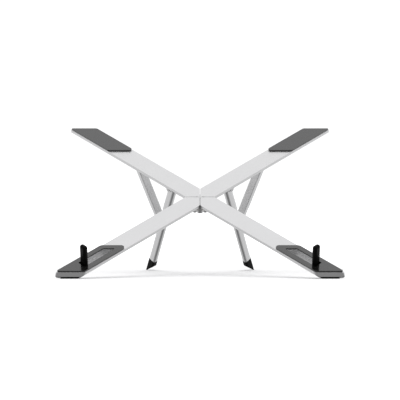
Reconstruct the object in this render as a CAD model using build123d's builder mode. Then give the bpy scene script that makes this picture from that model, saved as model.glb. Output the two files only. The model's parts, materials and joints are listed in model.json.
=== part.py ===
from build123d import *
from math import atan2, cos, radians, sin, sqrt
import os

# Folding X-shaped laptop stand, in millimetres. +Z is up, the laptop's user looks along +Y.
# The deck is the tilted plane of the pad tops. On it u runs to the right and v up the slope.
# Along one arm, a is the distance from the crossing and b the depth below the deck.

# Deck
DECK_TILT = 35.6        # degrees from the table
CROSS_HEIGHT = 61.35    # the crossing's centre above the table
CROSS_Y = -8.43         # puts the origin under the middle of the stand
FRONT, REAR = -1, 1
SIDES = {"left": -1, "right": 1}

# Arms: flat bars at 45 degrees on the deck
ARM_WIDTH = 15.9
ARM_THICK = 4.1
ARM_REACH = 95.8        # crossing to an end edge, along v
ARM_EDGE_R = 2.9        # lower long edges
ARM_TOP_R = 0.3         # upper long edges
END_LEAN = 14.0         # degrees that a front end leans forward
SEAM = 0.15             # each arm's distance from the stand's two centre lines
BAND = ARM_WIDTH / sqrt(2)
SHARP_END_R = 0.8
BLUNT_END_R = 3.6

# Arm pivots: each arm swings 45 degrees, until it lies beside its neighbour
PIVOT_U = ARM_WIDTH / 4 + SEAM
PIVOT_V = PIVOT_U + ARM_WIDTH / 4 * sqrt(2)
TIP_R = PIVOT_V - SEAM
HEEL_R = ARM_WIDTH / 4

# Pads
PAD_THICK = 1.1
PAD_INSET = 0.35
PAD_BLUNT_R = 3.4
PAD_TIP_R = 0.7         # outer sharp corner
PAD_INNER_R = {"front": 2.6, "rear": 1.8}
PAD_START = {"front": 63.9, "rear": 63.5}
BODY_DEPTH = PAD_THICK + ARM_THICK

# Folding stops at the front
STOP_A = 121.2          # hinge pin's distance from the crossing
STOP_B = 2.2            # hinge pin's depth below the deck
STOP_HEIGHT = 18.2      # above the hinge pin
STOP_WIDTH = 6.2
STOP_DEEP = 4.0
STOP_SIDE_R = 1.9
STOP_END_R = 1.7
SLOT_WIDTH = 6.8
SLOT_START = 67.8       # inner end of the slot, along v
SLOT_END_A = 124.3      # outer end of the slot, along the arm
SLOT_DEPTH = 4.4
SLOT_R = 0.8
STOP_PIN_R = 0.8
STOP_PIN_LENGTH = 10.8

# Rubber soles under the front ends
SOLE_TOP = 4.5
SOLE_BOTTOM = 6.9
SOLE_START = 90.5
SOLE_HALF = 4.2

# Rear legs, each in the upright plane of its arm
HINGE_A, HINGE_B = 32.0, 8.7
FOOT_A, FOOT_B = 59.68, 104.1
LEG_WIDTH = 4.8
LEG_OUTER = 1.75        # hinge line to the face that folds towards the arm
LEG_INNER = 5.05        # hinge line to the opposite face
LEG_R = 1.7
LEG_EYE_R = 2.25
LEG_STEP = 0.6          # the leg is this much smaller all round inside its cap
LEG_SOLE = 1.4          # rubber below the leg's end
PIN_R = 1.0
PIN_HEAD_R = 1.35
PIN_HEAD_THICK = 0.35
RUN = 0.05              # running clearance of a pin
CAP_LENGTH = 13.2
CAP_SWELL_T = 0.2      # the cap stands proud of the leg's flanks by this much
CAP_SWELL = 0.1         # and of its outer and inner faces by this much
CAP_R = 1.9
CAP_RISE = 27.0         # degrees that the cap's end rises towards the stand's middle
CAP_TREAD = 1.9         # leg axis to the inner edge of the flat that stands on the table

# Struts: channels that straddle the legs
STRUT_AT = 42.6         # leg hinge to strut hinge
TIP_A, TIP_B = 68.1, 8.7
STRUT_WIDTH = 6.5
STRUT_WALL = 0.6
STRUT_WEB = 0.8
STRUT_BACK = 2.78       # strut hinge to the web's outer face
STRUT_FLANGE = 3.3
STRUT_EAR_R = 2.2
STRUT_REACH = 60.0      # blank length before the end is mitred
WEB_START = 7.4
STRUT_END_B = 6.1       # depth of the mitred end, just clear of the notched rail

# Leg brackets
BRACKET_A0, BRACKET_A1 = 23.2, 40.1
BRACKET_BASE = 1.0
BRACKET_GAP = 5.3
BRACKET_EAR = 0.8
EAR_R = 2.2
SCREW_R = 1.1
SCREW_HEAD_R = 1.9
SCREW_LENGTH = 3.4
COUNTERSINK = 45        # degrees
BRACKET_SCREWS = (25.9, 37.9)

# Notched rails
RAIL_A0, RAIL_A1 = 48.0, 76.0
RAIL_TOP, RAIL_BOTTOM = 4.0, 5.75
RAIL_WIDTH = 7.0
RAIL_SCREWS = (50.6, 73.4)
NOTCHES = (57.0, 62.0, 67.0)
NOTCH_WIDTH = 1.8
NOTCH_DEPTH = 0.9

# Hub under the crossing
HUB_TOP = 5.5
HUB_THICK = 1.6
HUB_EAR_R = 2.4
BOSS_HALF_WIDTH = 2.9
BOSS_THICK = 3.1
BOSS_EDGE_R = 0.5
WASHER_R = 3.2
WASHER_THICK = 0.25
SHOULDER_R = 1.2
THREAD_R = 1.0
THREAD_TOP = 2.2
HEAD_R = 1.8
HEAD_THICK = 0.8
SOCKET_R = 0.6

LEG_LENGTH = sqrt((FOOT_A - HINGE_A) ** 2 + (FOOT_B - HINGE_B) ** 2)

os.makedirs("parts", exist_ok=True)

tilt = radians(DECK_TILT)
UPHILL = Vector(0, cos(tilt), sin(tilt))
OUTWARD = Vector(0, -sin(tilt), cos(tilt))
deck = Plane(origin=(0, CROSS_Y, CROSS_HEIGHT), x_dir=(1, 0, 0), z_dir=OUTWARD)


def finish(piece, name):
    """Label a finished piece and write it to its own file."""
    piece.part.label = name
    export_step(piece.part, f"parts/{name}.step")


def top_plane(side, end):
    """Deck plane with x out along one arm."""
    return Plane(origin=deck.origin, x_dir=Vector(side, 0, 0) + UPHILL * end, z_dir=OUTWARD)


def side_plane(side, end):
    """Upright plane along one arm: x is a, y is b, z is across the arm."""
    top = top_plane(side, end)
    return Plane(origin=top.origin, x_dir=top.x_dir, z_dir=top.y_dir)


def quadrant(side, end, points):
    """Points given for the right rear arm, moved to another arm."""
    return [(side * u, end * v) for u, v in points]


def on_arm(a, across):
    """Deck coordinates of a point on the right rear arm."""
    return ((a + across) / sqrt(2), (a - across) / sqrt(2))


def band_points(start, stop, half):
    """Corners of a slanted band whose two ends run parallel to u."""
    return [(start - half, start), (start + half, start), (stop + half, stop), (stop - half, stop)]


def arm_outline_block(side, end):
    """Plan shape of an arm: rounded nose and heel at the crossing, slanted outer end."""
    lean = radians(END_LEAN) if end == FRONT else 0.0
    reach = ARM_REACH + 2 * BODY_DEPTH * sin(lean)
    drop = sqrt(TIP_R**2 - (PIVOT_U - SEAM) ** 2)
    nose_angle = radians(270) - atan2(PIVOT_U - SEAM, drop) / 2
    heel_angle = radians(157.5)
    nose_mid = (PIVOT_U + TIP_R * cos(nose_angle), PIVOT_V + TIP_R * sin(nose_angle))
    heel_mid = (PIVOT_U + HEEL_R * cos(heel_angle), PIVOT_V + HEEL_R * sin(heel_angle))
    heel_end = (PIVOT_U - HEEL_R / sqrt(2), PIVOT_V + HEEL_R / sqrt(2))
    nose = quadrant(side, end, [(SEAM, PIVOT_V - drop), nose_mid, (PIVOT_U, SEAM)])
    heel = quadrant(side, end, [(SEAM, PIVOT_V), heel_mid, heel_end])
    rim = quadrant(side, end, [(SEAM + BAND, SEAM), (reach + BAND, reach), (reach - BAND, reach)])
    inward = UPHILL * (-end * cos(lean)) - OUTWARD * sin(lean)
    edge = deck.from_local_coords((0, end * ARM_REACH, 0))
    sharp = deck.from_local_coords((side * (ARM_REACH + BAND), end * ARM_REACH, -BODY_DEPTH / 2))
    blunt = deck.from_local_coords((side * (ARM_REACH - BAND), end * ARM_REACH, -BODY_DEPTH / 2))
    with BuildPart() as block:
        with BuildSketch(deck.offset(-BODY_DEPTH - 1)):
            with BuildLine():
                ThreePointArc(*nose)
                Polyline(nose[2], *rim, heel[2])
                ThreePointArc(*heel)
                Line(heel[0], nose[0])
            make_face()
        extrude(amount=BODY_DEPTH + 2)
        split(bisect_by=Plane(origin=edge, z_dir=inward), keep=Keep.TOP)
        fillet(block.edges().sort_by_distance(sharp)[0], SHARP_END_R)
        fillet(block.edges().sort_by_distance(blunt)[0], BLUNT_END_R)
    return block.part


def arm_blank(side, end):
    """A plain half-arm: a bar with rounded long edges, cut to its plan shape."""
    outline = arm_outline_block(side, end)
    top = top_plane(side, end)
    with BuildPart() as blank:
        with BuildSketch(Plane(origin=top.origin, x_dir=top.y_dir, z_dir=top.x_dir)) as section:
            with Locations((0, -PAD_THICK - ARM_THICK / 2)):
                Rectangle(ARM_WIDTH, ARM_THICK)
            fillet(section.vertices().group_by(Axis.Y)[0], ARM_EDGE_R)
            fillet(section.vertices().group_by(Axis.Y)[-1], ARM_TOP_R)
        extrude(amount=2 * ARM_REACH)
        add(outline, mode=Mode.INTERSECT)
    return blank.part


def pivot_hole(side, end):
    """Shape of the blind thread under an arm's inner end."""
    with BuildPart() as hole:
        with BuildSketch(deck.offset(-BODY_DEPTH)):
            with Locations((side * PIVOT_U, end * PIVOT_V)):
                Circle(THREAD_R)
        extrude(amount=BODY_DEPTH - THREAD_TOP)
    return hole.part


def slot_points(side):
    """Stop slot in a front arm: slanted inner end, square outer end."""
    half = SLOT_WIDTH / 2
    inner = [(SLOT_START + half * sqrt(2), SLOT_START), (SLOT_START - half * sqrt(2), SLOT_START)]
    outer = [on_arm(SLOT_END_A, -half), on_arm(SLOT_END_A, half)]
    return quadrant(side, FRONT, inner + outer)


def make_front_arm(side, name):
    """Front half-arm with the stop's slot, its pin groove and a step for the rubber sole."""
    blank = arm_blank(side, FRONT)
    thread = pivot_hole(side, FRONT)
    top = top_plane(side, FRONT)
    with BuildPart() as arm:
        add(blank)
        with BuildSketch(deck.offset(-SLOT_DEPTH)) as slot:
            with BuildLine():
                Polyline(*slot_points(side), close=True)
            make_face()
            fillet(slot.vertices(), SLOT_R)
        extrude(amount=SLOT_DEPTH, mode=Mode.SUBTRACT)
        with BuildSketch(top.offset(-STOP_B - STOP_PIN_R)):
            with Locations((STOP_A, 0)):
                Rectangle(2 * STOP_PIN_R, STOP_PIN_LENGTH + 2 * RUN)
        extrude(amount=STOP_B + STOP_PIN_R, mode=Mode.SUBTRACT)
        with BuildSketch(deck.offset(-SOLE_TOP)):
            with Locations((side * ARM_REACH, FRONT * (SOLE_START + ARM_WIDTH))):
                Rectangle(4 * ARM_WIDTH, 2 * ARM_WIDTH)
        extrude(amount=-ARM_THICK, mode=Mode.SUBTRACT)
        add(thread, mode=Mode.SUBTRACT)
    finish(arm, f"arm_front_{name}")


def make_sole(side, name):
    """Rubber sole that fills the step under a front end and meets the table on a flat."""
    blank = arm_blank(side, FRONT)
    reach = ARM_REACH + BODY_DEPTH * sin(radians(END_LEAN))
    with BuildPart() as sole:
        add(blank)
        with BuildSketch(deck.offset(-SOLE_TOP)):
            with Locations((side * ARM_REACH, FRONT * (SOLE_START + ARM_WIDTH))):
                Rectangle(4 * ARM_WIDTH, 2 * ARM_WIDTH)
        extrude(amount=-ARM_THICK, mode=Mode.INTERSECT)
        with BuildSketch(deck.offset(-BODY_DEPTH)):
            with BuildLine():
                Polyline(
                    *quadrant(side, FRONT, band_points(SOLE_START, reach, SOLE_HALF * sqrt(2))),
                    close=True,
                )
            make_face()
        extrude(amount=BODY_DEPTH - SOLE_BOTTOM)
        split(bisect_by=Plane.XY, keep=Keep.TOP)
    finish(sole, f"sole_{name}")


def make_rear_arm(side, name):
    """Rear half-arm with blind screw holes and a pocket for the notched rail."""
    blank = arm_blank(side, REAR)
    thread = pivot_hole(side, REAR)
    under = top_plane(side, REAR).offset(-BODY_DEPTH)
    rail_centre = ((RAIL_A0 + RAIL_A1) / 2, 0)
    with BuildPart() as arm:
        add(blank)
        with BuildSketch(under):
            with Locations(*[(a, 0) for a in BRACKET_SCREWS + RAIL_SCREWS]):
                Circle(SCREW_R)
        extrude(amount=SCREW_LENGTH - RAIL_BOTTOM + BODY_DEPTH, mode=Mode.SUBTRACT)
        with BuildSketch(under):
            with Locations(rail_centre):
                Rectangle(RAIL_A1 - RAIL_A0 + 2 * RUN, RAIL_WIDTH + 2 * RUN)
        extrude(amount=BODY_DEPTH - RAIL_TOP, mode=Mode.SUBTRACT)
        add(thread, mode=Mode.SUBTRACT)
    finish(arm, f"arm_rear_{name}")


def make_pad(side, end, where, name):
    """Grip pad bonded on the outer end of an arm; a front pad is open over the stop's slot."""
    half = (ARM_WIDTH / 2 - PAD_INSET) * sqrt(2)
    stop = ARM_REACH - PAD_INSET
    corners = quadrant(side, end, band_points(PAD_START[where], stop, half))
    with BuildPart() as pad:
        with BuildSketch(deck.offset(-PAD_THICK)) as plan:
            with BuildLine():
                Polyline(*corners, close=True)
            make_face()
            radii = (PAD_INNER_R[where], PAD_BLUNT_R, PAD_TIP_R, PAD_BLUNT_R)
            for corner, radius in zip(corners, radii):
                fillet(plan.vertices().sort_by_distance((*corner, 0))[0], radius)
        extrude(amount=PAD_THICK)
        if end == FRONT:
            with BuildSketch(deck.offset(-PAD_THICK)) as slot:
                with BuildLine():
                    Polyline(*slot_points(side), close=True)
                make_face()
                fillet(slot.vertices(), SLOT_R)
            extrude(amount=PAD_THICK, mode=Mode.SUBTRACT)
    finish(pad, f"pad_{where}_{name}")


def make_stop(side, name):
    """Folding stop: a rounded post with a softly domed top, turning on a cross pin."""
    along = side_plane(side, FRONT)
    centre = along.from_local_coords((STOP_A, STOP_B, 0))
    foot = Plane(origin=centre, x_dir=along.x_dir, z_dir=OUTWARD)
    flank = Plane(origin=centre, x_dir=along.x_dir, z_dir=-along.z_dir)
    with BuildPart() as stop:
        with BuildSketch(foot):
            RectangleRounded(STOP_DEEP, STOP_WIDTH, STOP_SIDE_R)
        extrude(amount=STOP_HEIGHT)
        fillet(stop.faces().sort_by(Axis(centre, OUTWARD))[-1].edges(), STOP_END_R)
        with BuildSketch(flank):
            Circle(STOP_DEEP / 2)
        extrude(amount=STOP_WIDTH / 2, both=True)
        with BuildSketch(flank):
            Circle(STOP_PIN_R + RUN)
        extrude(amount=STOP_WIDTH, both=True, mode=Mode.SUBTRACT)
    finish(stop, f"stop_{name}")
    with BuildPart() as pin:
        with BuildSketch(flank):
            Circle(STOP_PIN_R)
        extrude(amount=STOP_PIN_LENGTH / 2, both=True)
    finish(pin, f"stop_pin_{name}")


def make_pivot_screw(side, end, name):
    """Shoulder screw up through the hub into an arm."""
    with BuildPart() as screw:
        with BuildSketch(deck.offset(-BODY_DEPTH)):
            with Locations((side * PIVOT_U, end * PIVOT_V)):
                Circle(THREAD_R)
        extrude(amount=BODY_DEPTH - THREAD_TOP)
        with BuildSketch(deck.offset(-HUB_TOP - HUB_THICK - RUN)):
            with Locations((side * PIVOT_U, end * PIVOT_V)):
                Circle(SHOULDER_R)
        extrude(amount=HUB_TOP + HUB_THICK + RUN - BODY_DEPTH)
        with BuildSketch(deck.offset(-HUB_TOP - HUB_THICK - RUN)):
            with Locations((side * PIVOT_U, end * PIVOT_V)):
                Circle(HEAD_R)
                Circle(SOCKET_R, mode=Mode.SUBTRACT)
        extrude(amount=-HEAD_THICK)
        with BuildSketch(deck.offset(-HUB_TOP - HUB_THICK - RUN)):
            with Locations((side * PIVOT_U, end * PIVOT_V)):
                Circle(SOCKET_R)
        extrude(amount=-HEAD_THICK / 2)
    finish(screw, name)


def pivot_points():
    """The four pivot centres on the deck."""
    return [(side * PIVOT_U, end * PIVOT_V) for side in SIDES.values() for end in (FRONT, REAR)]


def make_hub():
    """Plate that carries the four arms, with a centre boss below, a key above and washers."""
    plate_bottom = HUB_TOP + HUB_THICK
    with BuildPart() as plate:
        with BuildSketch(deck.offset(-plate_bottom)):
            Rectangle(2 * (PIVOT_U + HUB_EAR_R), 2 * PIVOT_V)
            with Locations(*pivot_points()):
                Circle(HUB_EAR_R)
                Circle(SHOULDER_R + RUN, mode=Mode.SUBTRACT)
        extrude(amount=HUB_THICK)
        with BuildSketch(deck.offset(-plate_bottom)):
            SlotOverall(2 * PIVOT_V, 2 * BOSS_HALF_WIDTH, rotation=90)
        extrude(amount=-BOSS_THICK)
        fillet(plate.faces().sort_by(Axis(deck.origin, OUTWARD))[0].edges(), BOSS_EDGE_R)
        with BuildSketch(deck.offset(-HUB_TOP)):
            Rectangle(PIVOT_U, 2 * SEAM + PIVOT_U)
            with Locations(*pivot_points()):
                Circle(TIP_R + 2 * RUN, mode=Mode.SUBTRACT)
        extrude(amount=HUB_TOP - PAD_THICK)
    finish(plate, "hub_plate")

    with BuildPart() as washers:
        with BuildSketch(deck.offset(-HUB_TOP)):
            with Locations(*pivot_points()):
                Circle(WASHER_R)
                Circle(SHOULDER_R + 2 * RUN, mode=Mode.SUBTRACT)
        extrude(amount=WASHER_THICK)
    finish(washers, "hub_washers")


def screw_shape(under, places, head_depth):
    """Countersunk screws pointing up into a rear arm, as one shape."""
    flush = under.offset(-head_depth)
    with BuildPart() as screws:
        with BuildSketch(flush):
            with Locations(*[(a, 0) for a in places]):
                Circle(SCREW_HEAD_R)
        extrude(amount=SCREW_HEAD_R - SCREW_R, taper=COUNTERSINK)
        with BuildSketch(flush):
            with Locations(*[(a, 0) for a in places]):
                Circle(SCREW_R)
        extrude(amount=SCREW_LENGTH)
    return screws


def make_bracket(side, name):
    """Clevis under a rear arm that holds the leg's hinge pin, with its screws and pin."""
    along = side_plane(side, REAR)
    under = top_plane(side, REAR).offset(-BODY_DEPTH)
    outer = BRACKET_GAP / 2 + BRACKET_EAR
    base = BODY_DEPTH + BRACKET_BASE
    screws = screw_shape(under, BRACKET_SCREWS, BRACKET_BASE)
    with BuildPart() as bracket:
        with BuildSketch(along):
            with BuildLine():
                Polyline(
                    (BRACKET_A0, BODY_DEPTH),
                    (BRACKET_A1, BODY_DEPTH),
                    (BRACKET_A1, base),
                    (HINGE_A + EAR_R, HINGE_B),
                    (HINGE_A - EAR_R, HINGE_B),
                    (BRACKET_A0, base),
                    close=True,
                )
            make_face()
            with Locations((HINGE_A, HINGE_B)):
                Circle(EAR_R)
        extrude(amount=outer, both=True)
        with BuildSketch(along):
            with Locations((HINGE_A, base + 2 * EAR_R)):
                Rectangle(2 * BRACKET_A1, 4 * EAR_R)
        extrude(amount=BRACKET_GAP / 2, both=True, mode=Mode.SUBTRACT)
        with BuildSketch(along):
            with Locations((HINGE_A, HINGE_B)):
                Circle(PIN_R)
        extrude(amount=outer, both=True, mode=Mode.SUBTRACT)
        add(screws.part, mode=Mode.SUBTRACT)
    finish(bracket, f"leg_bracket_{name}")
    finish(screws, f"bracket_screws_{name}")
    make_cross_pin(along, (HINGE_A, HINGE_B), outer, f"leg_pin_{name}")


def make_cross_pin(along, centre, half_length, name):
    """Headed pin across an arm's upright plane."""
    with BuildPart() as pin:
        with BuildSketch(along):
            with Locations(centre):
                Circle(PIN_R)
        extrude(amount=half_length + RUN, both=True)
        for z in (half_length + RUN, -half_length - RUN - PIN_HEAD_THICK):
            with BuildSketch(along.offset(z)):
                with Locations(centre):
                    Circle(PIN_HEAD_R)
            extrude(amount=PIN_HEAD_THICK)
    finish(pin, name)


def make_rail(side, name):
    """Notched rail let into the underside of a rear arm, with its screws."""
    along = side_plane(side, REAR)
    under = top_plane(side, REAR).offset(-BODY_DEPTH)
    thick = RAIL_BOTTOM - RAIL_TOP
    screws = screw_shape(under, RAIL_SCREWS, RAIL_BOTTOM - BODY_DEPTH)
    with BuildPart() as rail:
        with BuildSketch(along):
            with Locations(((RAIL_A0 + RAIL_A1) / 2, RAIL_TOP + thick / 2)):
                Rectangle(RAIL_A1 - RAIL_A0, thick)
            for a in NOTCHES:
                with Locations((a, RAIL_BOTTOM - NOTCH_DEPTH / 2)):
                    Rectangle(NOTCH_WIDTH, NOTCH_DEPTH, mode=Mode.SUBTRACT)
        extrude(amount=RAIL_WIDTH / 2, both=True)
        add(screws.part, mode=Mode.SUBTRACT)
    finish(rail, f"notch_rail_{name}")
    finish(screws, f"rail_screws_{name}")


def leg_section(side):
    """Plane across the leg at its hinge: x lies across the arm, y points away from the arm."""
    along = side_plane(side, REAR)
    hinge = along.from_local_coords((HINGE_A, HINGE_B, 0))
    foot = along.from_local_coords((FOOT_A, FOOT_B, 0))
    down = (foot - hinge).normalized()
    section = Plane(origin=hinge, x_dir=along.z_dir, z_dir=down)
    if section.y_dir.dot(along.x_dir) > 0:
        section = Plane(origin=hinge, x_dir=-along.z_dir, z_dir=down)
    return section


def cap_end(side):
    """Plane of the foot cap's slanted end, facing up the leg."""
    along = side_plane(side, REAR)
    foot = along.from_local_coords((FOOT_A, FOOT_B, 0))
    rise = radians(CAP_RISE)
    tread = (foot.X + side * CAP_TREAD, foot.Y, 0)
    return Plane(origin=tread, z_dir=(side * sin(rise), 0, cos(rise)))


def strut_joint():
    """Where the strut is pinned to the leg, in the arm's upright plane."""
    part_way = STRUT_AT / LEG_LENGTH
    return (HINGE_A + (FOOT_A - HINGE_A) * part_way, HINGE_B + (FOOT_B - HINGE_B) * part_way)


def make_leg(side, name):
    """Leg with a hinge eye, its rubber foot cap and the pin that carries the strut."""
    along = side_plane(side, REAR)
    section = leg_section(side)
    end = cap_end(side)
    depth = LEG_OUTER + LEG_INNER
    middle = (0, (LEG_INNER - LEG_OUTER) / 2)
    cap_start = LEG_LENGTH - CAP_LENGTH
    with BuildPart() as leg:
        with BuildSketch(section):
            with Locations(middle):
                RectangleRounded(LEG_WIDTH, depth, LEG_R)
        extrude(amount=cap_start)
        with BuildSketch(section.offset(cap_start)):
            with Locations(middle):
                RectangleRounded(LEG_WIDTH - 2 * LEG_STEP, depth - 2 * LEG_STEP, LEG_R - LEG_STEP)
        extrude(amount=2 * CAP_LENGTH)
        with BuildSketch(along):
            with Locations((HINGE_A, HINGE_B)):
                Circle(LEG_EYE_R)
        extrude(amount=LEG_WIDTH / 2, both=True)
        with BuildSketch(along):
            with Locations((HINGE_A, HINGE_B)):
                Circle(PIN_R + RUN)
            with Locations(strut_joint()):
                Circle(PIN_R)
        extrude(amount=LEG_WIDTH, both=True, mode=Mode.SUBTRACT)
        split(bisect_by=end.offset(LEG_SOLE), keep=Keep.TOP)
    finish(leg, f"leg_{name}")

    with BuildPart() as cap:
        with BuildSketch(section.offset(cap_start)):
            with Locations(middle):
                RectangleRounded(LEG_WIDTH + 2 * CAP_SWELL_T, depth + 2 * CAP_SWELL, CAP_R)
        extrude(amount=2 * CAP_LENGTH)
        split(bisect_by=end, keep=Keep.TOP)
        split(bisect_by=Plane.XY, keep=Keep.TOP)
        add(leg.part, mode=Mode.SUBTRACT)
    finish(cap, f"foot_cap_{name}")
    make_cross_pin(along, strut_joint(), STRUT_WIDTH / 2, f"strut_pin_{name}")


def make_strut(side, name):
    """Channel strut: two ears on the leg's pin, a web beyond the leg, an end at the notches."""
    along = side_plane(side, REAR)
    joint = strut_joint()
    origin = along.from_local_coords((*joint, 0))
    tip = along.from_local_coords((TIP_A, TIP_B, 0))
    strut_plane = Plane(origin=origin, x_dir=(tip - origin).normalized(), z_dir=along.z_dir)
    inner = STRUT_WIDTH / 2 - STRUT_WALL
    with BuildPart() as strut:
        with BuildSketch(strut_plane):
            with BuildLine():
                Polyline(
                    (0, -STRUT_EAR_R),
                    (STRUT_EAR_R * 2, -STRUT_BACK),
                    (STRUT_REACH, -STRUT_BACK),
                    (STRUT_REACH, STRUT_FLANGE - STRUT_BACK),
                    (STRUT_EAR_R * 2, STRUT_FLANGE - STRUT_BACK),
                    (0, STRUT_EAR_R),
                    close=True,
                )
            make_face()
            Circle(STRUT_EAR_R)
        extrude(amount=STRUT_WIDTH / 2, both=True)
        with BuildSketch(strut_plane):
            with Locations((STRUT_REACH / 2, STRUT_WEB - STRUT_BACK + STRUT_REACH / 2)):
                Rectangle(2 * STRUT_REACH, STRUT_REACH)
            with Locations((0, -STRUT_BACK)):
                Rectangle(2 * WEB_START, 2 * STRUT_BACK)
        extrude(amount=inner, both=True, mode=Mode.SUBTRACT)
        with BuildSketch(strut_plane):
            Circle(PIN_R + RUN)
        extrude(amount=STRUT_WIDTH, both=True, mode=Mode.SUBTRACT)
        split(bisect_by=deck.offset(-STRUT_END_B), keep=Keep.BOTTOM)
    finish(strut, f"strut_{name}")


make_hub()
for name, side in SIDES.items():
    make_front_arm(side, name)
    make_sole(side, name)
    make_pad(side, FRONT, "front", name)
    make_stop(side, name)
    make_pivot_screw(side, FRONT, f"pivot_screw_front_{name}")
    make_rear_arm(side, name)
    make_pad(side, REAR, "rear", name)
    make_bracket(side, name)
    make_rail(side, name)
    make_pivot_screw(side, REAR, f"pivot_screw_rear_{name}")
    make_leg(side, name)
    make_strut(side, name)
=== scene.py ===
import json
from math import radians

import bpy
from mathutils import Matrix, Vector


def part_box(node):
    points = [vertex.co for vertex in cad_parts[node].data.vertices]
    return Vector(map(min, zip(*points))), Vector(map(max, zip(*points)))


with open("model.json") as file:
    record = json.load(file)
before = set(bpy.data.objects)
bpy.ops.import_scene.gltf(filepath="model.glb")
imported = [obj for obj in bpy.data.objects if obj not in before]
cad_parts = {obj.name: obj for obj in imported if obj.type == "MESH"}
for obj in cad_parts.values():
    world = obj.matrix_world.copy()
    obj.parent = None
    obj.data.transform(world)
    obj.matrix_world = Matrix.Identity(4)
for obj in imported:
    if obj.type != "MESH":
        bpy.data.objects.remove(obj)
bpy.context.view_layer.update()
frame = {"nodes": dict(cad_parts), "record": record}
nodes = frame["nodes"]
scene = bpy.context.scene

# Camera
CAMERA_DISTANCE = 1.341     # from the front pads' top edge
CAMERA_HEIGHT = 0.058
CAMERA_TILT = radians(90)   # level
CLIP = (0.05, 100.0)
LENS = 163.9
SENSOR = 36.0

# Table
FLOOR_HALF = 12.0
FLOOR_TONE = 0.75
FLOOR_ROUGHNESS = 0.9
NEAR_GLOW, FAR_GLOW = 0.09, 0.75    # the table's self-light near the stand and far away
GLOW_START, GLOW_END = 0.16, 0.7

# Softbox overhead
SOFTBOX_PLACE = (0.0, 0.0, 1.6)
SOFTBOX_SIZE = 1.6
SOFTBOX_POWER = 14.0

# Sky: brightness by direction, as (from, to, level at from, level at to)
SKY_FRONT_BACK = (-0.95, 0.35, 0.38, 0.95)  # along Y, darker on the camera's side
SKY_OVERHEAD = (0.25, 0.75, 0.0, 1.0)       # along Z, a softbox above
SKY_BELOW = (-0.92, -0.35, 0.28, 1.0)       # along Z, darker straight below
BACKDROP_LEVEL = 1.1                        # what the camera sees directly

# Relief shared by all materials, in metres
EDGE_RADIUS = 0.0002
LEG_EDGE_RADIUS = 0.0012
EDGE_SAMPLES = 6

# The legs and struts are a little smoother than the arms, and their aluminium is given a darker tone
# as painted shade
SMOOTH_PIECES = ("leg_left", "leg_right", "strut_left", "strut_right")


# ---------------------------------------------------------------- node helpers
class Graph:
    """A short way to add and link shader nodes."""

    def __init__(self, tree):
        self.tree = tree
        tree.nodes.clear()

    def add(self, kind, settings=None, **inputs):
        """New node; settings are its properties, inputs are values or output sockets."""
        node = self.tree.nodes.new(kind)
        for key, value in (settings or {}).items():
            setattr(node, key, value)
        for key, value in inputs.items():
            self.put(node, key.replace("_", " "), value)
        return node

    def put(self, node, socket, value):
        """Set or link one input, found by name or by number."""
        target = node.inputs[socket]
        if isinstance(value, bpy.types.NodeSocket):
            self.tree.links.new(value, target)
        else:
            target.default_value = value

    def math(self, operation, a, b):
        """Output of a math node."""
        node = self.add("ShaderNodeMath", {"operation": operation})
        self.put(node, 0, a)
        self.put(node, 1, b)
        return node.outputs[0]

    def noise(self, where, scale, detail, roughness=0.5):
        """Output of a noise texture; scale is in repeats per metre."""
        node = self.add(
            "ShaderNodeTexNoise", Vector=where, Scale=scale, Detail=detail, Roughness=roughness
        )
        return node.outputs[0]

    def spread(self, value, low, high, new_low, new_high):
        """Output of a clamped map range."""
        node = self.add("ShaderNodeMapRange")
        for number, item in enumerate((value, low, high, new_low, new_high)):
            self.put(node, number, item)
        return node.outputs[0]

    def tint(self, dark, light, fac):
        """Colour between two colours."""
        node = self.add("ShaderNodeMix", {"data_type": "RGBA"})
        fac_socket, dark_socket, light_socket = 0, 6, 7
        self.put(node, fac_socket, fac)
        self.put(node, dark_socket, dark)
        self.put(node, light_socket, light)
        return node.outputs[2]


def grey(value):
    """A neutral colour."""
    return (value, value, value * 1.005, 1.0)


def new_material(name):
    """Empty material, its graph, its shader and the object coordinates."""
    material = bpy.data.materials.new(name)
    material.use_nodes = True
    graph = Graph(material.node_tree)
    shader = graph.add("ShaderNodeBsdfPrincipled")
    graph.add("ShaderNodeOutputMaterial", Surface=shader.outputs[0])
    where = graph.add("ShaderNodeTexCoord").outputs["Object"]
    return material, graph, shader, where


def bump(graph, shader, height, distance, strength, edge=EDGE_RADIUS):
    """Small surface relief over softly rounded edges."""
    rounded = graph.add("ShaderNodeBevel", {"samples": EDGE_SAMPLES}, Radius=edge)
    node = graph.add(
        "ShaderNodeBump",
        Normal=rounded.outputs[0],
        Height=height,
        Distance=distance,
        Strength=strength,
    )
    graph.put(shader, "Normal", node.outputs[0])


# ---------------------------------------------------------------- materials
def blasted_aluminium(name, tone, roughness, edge=EDGE_RADIUS):
    """Silver anodised aluminium with a fine bead-blasted grain."""
    material, graph, shader, where = new_material(name)
    cloud = graph.noise(where, 60.0, 3.0)
    grain = graph.noise(where, 5200.0, 2.0, 0.6)
    fine = graph.spread(grain, 0.35, 0.65, 0.0, 1.0)
    graph.put(shader, "Base Color", graph.tint(grey(tone * 0.975), grey(tone * 1.015), cloud))
    shader.inputs["Metallic"].default_value = 1.0
    rough = graph.spread(fine, 0.0, 1.0, roughness - 0.03, roughness + 0.04)
    graph.put(shader, "Roughness", rough)
    bump(graph, shader, fine, distance=0.00001, strength=0.25, edge=edge)
    return material


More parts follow.
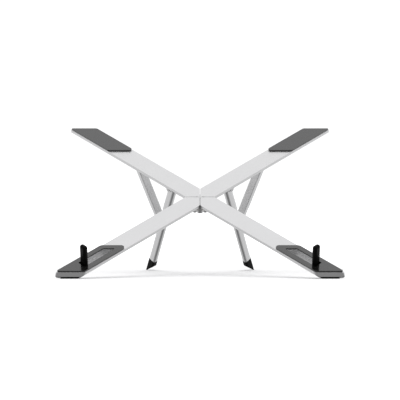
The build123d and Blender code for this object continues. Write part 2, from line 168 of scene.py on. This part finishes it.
def glossy_pad(name):
    """Smooth black silicone with a clear, slightly uneven gloss."""
    material, graph, shader, where = new_material(name)
    ripple = graph.noise(where, 220.0, 2.0)
    dust = graph.spread(graph.noise(where, 2600.0, 1.0), 0.62, 0.78, 0.0, 1.0)
    graph.put(shader, "Base Color", graph.tint(grey(0.006), grey(0.02), dust))
    graph.put(shader, "Roughness", graph.spread(ripple, 0.3, 0.7, 0.10, 0.16))
    shader.inputs["IOR"].default_value = 2.0
    bump(graph, shader, ripple, distance=0.00002, strength=0.12)
    return material


def matt_black(name, tone, roughness, specular, grain_scale):
    """Moulded black rubber or plastic with a fine grain."""
    material, graph, shader, where = new_material(name)
    grain = graph.noise(where, grain_scale, 3.0, 0.6)
    graph.put(shader, "Base Color", graph.tint(grey(tone * 0.7), grey(tone * 1.5), grain))
    graph.put(shader, "Roughness", graph.spread(grain, 0.3, 0.7, roughness - 0.05, roughness + 0.06))
    shader.inputs["Specular IOR Level"].default_value = specular
    bump(graph, shader, grain, distance=0.00003, strength=0.25)
    return material


def plain_steel(name):
    """Bright machined steel."""
    material, graph, shader, where = new_material(name)
    cloud = graph.noise(where, 900.0, 3.0)
    graph.put(shader, "Base Color", graph.tint(grey(0.52), grey(0.6), cloud))
    graph.put(shader, "Roughness", graph.spread(cloud, 0.3, 0.7, 0.22, 0.34))
    shader.inputs["Metallic"].default_value = 1.0
    bump(graph, shader, cloud, distance=0.00001, strength=0.2)
    return material


def natural_nylon(name):
    """Off-white nylon."""
    material, graph, shader, where = new_material(name)
    cloud = graph.noise(where, 500.0, 2.0)
    graph.put(shader, "Base Color", graph.tint((0.78, 0.77, 0.74, 1), (0.86, 0.85, 0.82, 1), cloud))
    shader.inputs["Roughness"].default_value = 0.45
    return material


# Legs and struts: the same aluminium with a darker tone (0.70 against the arms' 0.75), painted
# shade.
SMOOTH_ALUMINIUM_PAINTED_SHADE = blasted_aluminium(
    "blasted_aluminium_leg_painted_shade", tone=0.70, roughness=0.24, edge=LEG_EDGE_RADIUS
)
SLOT_MATERIALS = {
    "aluminium": blasted_aluminium("blasted_aluminium", tone=0.75, roughness=0.36),
    # The hub's aluminium is a little darker than the arms' (0.72 against 0.75): painted shade for
    # its place in the crease under the crossing.
    "aluminium_hub": blasted_aluminium("blasted_aluminium_hub_painted_shade", tone=0.72, roughness=0.34),
    "pad": glossy_pad("glossy_black_pad"),
    "stop_rubber": matt_black(
        "satin_black_stop", tone=0.002, roughness=0.28, specular=0.07, grain_scale=1500.0
    ),
    "rubber": matt_black(
        "matt_black_rubber", tone=0.003, roughness=0.5, specular=0.08, grain_scale=2500.0
    ),
    "steel": plain_steel("machined_steel"),
    "nylon": natural_nylon("natural_nylon"),
}


def dress_cad_nodes():
    """Give every carried-over node its material."""
    for part in frame["record"]["subparts"]:
        material = SLOT_MATERIALS[part["material_slot"]]
        if part["node"] in SMOOTH_PIECES:
            material = SMOOTH_ALUMINIUM_PAINTED_SHADE
        slots = nodes[part["node"]].data.materials
        slots.clear()
        slots.append(material)


# ---------------------------------------------------------------- stage
def white_world():
    """White to the camera; to everything else a softbox sky, darker in front and below."""
    world = bpy.data.worlds.new("studio")
    scene.world = world
    world.use_nodes = True
    graph = Graph(world.node_tree)
    where = graph.add("ShaderNodeTexCoord").outputs["Generated"]
    split = graph.add("ShaderNodeSeparateXYZ", Vector=where)
    front_back = graph.spread(split.outputs["Y"], *SKY_FRONT_BACK)
    overhead = graph.spread(split.outputs["Z"], *SKY_OVERHEAD)
    below = graph.spread(split.outputs["Z"], *SKY_BELOW)
    level = graph.math("MULTIPLY", graph.math("MAXIMUM", front_back, overhead), below)
    sky = graph.add("ShaderNodeBackground", Color=grey(1.0), Strength=level)
    white = graph.add("ShaderNodeBackground", Color=grey(1.0), Strength=BACKDROP_LEVEL)
    path = graph.add("ShaderNodeLightPath")
    mix = graph.add("ShaderNodeMixShader")
    graph.put(mix, 0, path.outputs["Is Camera Ray"])
    graph.put(mix, 1, sky.outputs[0])
    graph.put(mix, 2, white.outputs[0])
    graph.add("ShaderNodeOutputWorld", Surface=mix.outputs[0])


def white_floor():
    """Plain white table, a little self-lit, so that only contact shadows show on it."""
    mesh = bpy.data.meshes.new("floor")
    half = FLOOR_HALF
    corners = [(-half, -half, 0), (half, -half, 0), (half, half, 0), (-half, half, 0)]
    mesh.from_pydata(corners, [], [(0, 1, 2, 3)])
    floor = bpy.data.objects.new("floor", mesh)
    scene.collection.objects.link(floor)
    material, graph, shader, where = new_material("white_table")
    length = graph.add("ShaderNodeVectorMath", {"operation": "LENGTH"}, Vector=where)
    distance = length.outputs["Value"]
    glow = graph.spread(distance, GLOW_START, GLOW_END, NEAR_GLOW, FAR_GLOW)
    graph.put(shader, "Emission Strength", glow)
    shader.inputs["Base Color"].default_value = grey(FLOOR_TONE)
    shader.inputs["Roughness"].default_value = FLOOR_ROUGHNESS
    shader.inputs["Specular IOR Level"].default_value = 0.0
    shader.inputs["Emission Color"].default_value = grey(1.0)
    mesh.materials.append(material)
    floor.visible_glossy = False


def soft_light():
    """Large soft light overhead, aimed at the middle of the table."""
    light = bpy.data.lights.new("top_softbox", "AREA")
    light.size = SOFTBOX_SIZE
    light.energy = SOFTBOX_POWER
    lamp = bpy.data.objects.new("top_softbox", light)
    lamp.location = SOFTBOX_PLACE
    lamp.rotation_euler = (-Vector(SOFTBOX_PLACE)).to_track_quat("-Z", "Y").to_euler()
    lamp.visible_glossy = False
    scene.collection.objects.link(lamp)


def make_camera():
    """Level camera in front of the stand, at the height of its crossing."""
    camera = bpy.data.cameras.new("camera")
    camera.lens = LENS
    camera.sensor_width = SENSOR
    camera.clip_start, camera.clip_end = CLIP
    eye = bpy.data.objects.new("camera", camera)
    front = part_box("pad_front_left")[0].y
    eye.location = (0.0, front - CAMERA_DISTANCE, CAMERA_HEIGHT)
    eye.rotation_euler = (CAMERA_TILT, 0.0, 0.0)
    scene.collection.objects.link(eye)
    scene.camera = eye


dress_cad_nodes()
white_world()
white_floor()
soft_light()
make_camera()
scene.view_settings.view_transform = "Standard"
scene.view_settings.look = "None"
